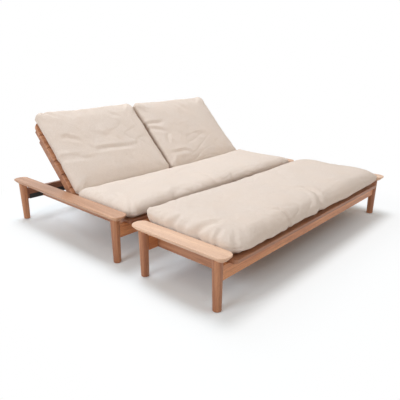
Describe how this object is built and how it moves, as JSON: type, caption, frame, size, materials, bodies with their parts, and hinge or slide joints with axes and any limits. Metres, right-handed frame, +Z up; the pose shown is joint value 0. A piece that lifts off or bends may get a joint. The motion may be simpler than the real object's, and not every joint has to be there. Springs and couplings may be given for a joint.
{
  "type": "double chaise lounger",
  "caption": "Double chaise lounger in wood with a thick seat cushion, twin reclining cushioned backs on prop racks, and a matching foot bench.",
  "frame": {"origin": "on the floor under the middle of the object's bounding box", "axes": "+Z up, -Y the front with the foot bench, +Y the rear with the reclining backs, -X left"},
  "size_m": [2.135, 2.205, 0.8646],
  "materials": {
    "teak_legs": "oiled teak, satin",
    "teak_boards": "oiled teak, satin, paler on top",
    "teak_rails": "oiled teak, satin",
    "teak_slats": "oiled teak, satin",
    "cushion_cloth": "woven outdoor cloth, oatmeal",
    "black_steel": "black powder coat",
    "steel_pins": "brushed",
    "steel_screws": "brushed",
    "beech_dowels": "plain",
    "nylon_glides": "matte"
  },
  "bodies": {
    "lounge_frame": {"lounge_leg_front_left": "teak_legs", "lounge_leg_front_right": "teak_legs", "lounge_leg_rear_left": "teak_legs", "lounge_leg_rear_right": "teak_legs", "lounge_end_board_left": "teak_boards", "lounge_end_rail_left": "teak_rails", "lounge_end_board_right": "teak_boards", "lounge_end_rail_right": "teak_rails", "lounge_rail_front": "teak_rails", "lounge_rail_rear": "teak_rails", "lounge_bearer_centre": "teak_rails", "lounge_rack_left_outer": "teak_rails", "lounge_rack_left_inner": "teak_rails", "lounge_rack_right_outer": "teak_rails", "lounge_rack_right_inner": "teak_rails", "lounge_slats": "teak_slats", "lounge_cushion": "cushion_cloth", "lounge_rear_stiffener": "black_steel", "lounge_hinge_pins": "steel_pins", "lounge_glides": "nylon_glides", "lounge_dowels": "beech_dowels", "lounge_deck_screws": "steel_screws"},
    "back_left": {"back_left_slats": "teak_slats", "back_left_hinge_batten_outer": "teak_rails", "back_left_batten_outer": "teak_rails", "back_left_hinge_batten_inner": "teak_rails", "back_left_batten_inner": "teak_rails", "back_left_prop_pins": "steel_pins", "back_left_cushion": "cushion_cloth"},
    "back_right": {"back_right_slats": "teak_slats", "back_right_hinge_batten_outer": "teak_rails", "back_right_batten_outer": "teak_rails", "back_right_hinge_batten_inner": "teak_rails", "back_right_batten_inner": "teak_rails", "back_right_prop_pins": "steel_pins", "back_right_cushion": "cushion_cloth"},
    "prop_left": {"prop_left_arm_outer": "teak_rails", "prop_left_arm_inner": "teak_rails", "prop_left_bar": "teak_rails"},
    "prop_right": {"prop_right_arm_outer": "teak_rails", "prop_right_arm_inner": "teak_rails", "prop_right_bar": "teak_rails"},
    "bench": {"bench_leg_front_left": "teak_legs", "bench_leg_front_right": "teak_legs", "bench_leg_rear_left": "teak_legs", "bench_leg_rear_right": "teak_legs", "bench_end_board_left": "teak_boards", "bench_end_rail_left": "teak_rails", "bench_bearer_left": "teak_rails", "bench_end_board_right": "teak_boards", "bench_end_rail_right": "teak_rails", "bench_bearer_right": "teak_rails", "bench_rail_front": "teak_rails", "bench_rail_rear": "teak_rails", "bench_slats": "teak_slats", "bench_cushion": "cushion_cloth", "bench_glides": "nylon_glides", "bench_dowels": "beech_dowels", "bench_deck_screws": "steel_screws"}
  },
  "joints": [
    {"name": "back_left_recline", "type": "hinge", "parent": "lounge_frame", "child": "back_left", "pos_m": [-0.47625, 0.3845, 0.236], "axis": [1, 0, 0], "range_deg": [-45, 0]},
    {"name": "prop_left_fold", "type": "hinge", "parent": "back_left", "child": "prop_left", "pos_m": [-0.47625, 0.59663, 0.44813], "axis": [1, 0, 0], "range_deg": [0, 90]},
    {"name": "back_right_recline", "type": "hinge", "parent": "lounge_frame", "child": "back_right", "pos_m": [0.47625, 0.3845, 0.236], "axis": [1, 0, 0], "range_deg": [-45, 0]},
    {"name": "prop_right_fold", "type": "hinge", "parent": "back_right", "child": "prop_right", "pos_m": [0.47625, 0.59663, 0.44813], "axis": [1, 0, 0], "range_deg": [0, 90]},
    {"name": "bench_pull_away", "type": "slide", "parent": "lounge_frame", "child": "bench", "axis": [0, -1, 0], "range_m": [0, 0.5]}
  ],
  "couplings": [
    {"joint": "prop_left_fold", "follows": "back_left_recline", "ratio": -2},
    {"joint": "prop_right_fold", "follows": "back_right_recline", "ratio": -2}
  ]
}
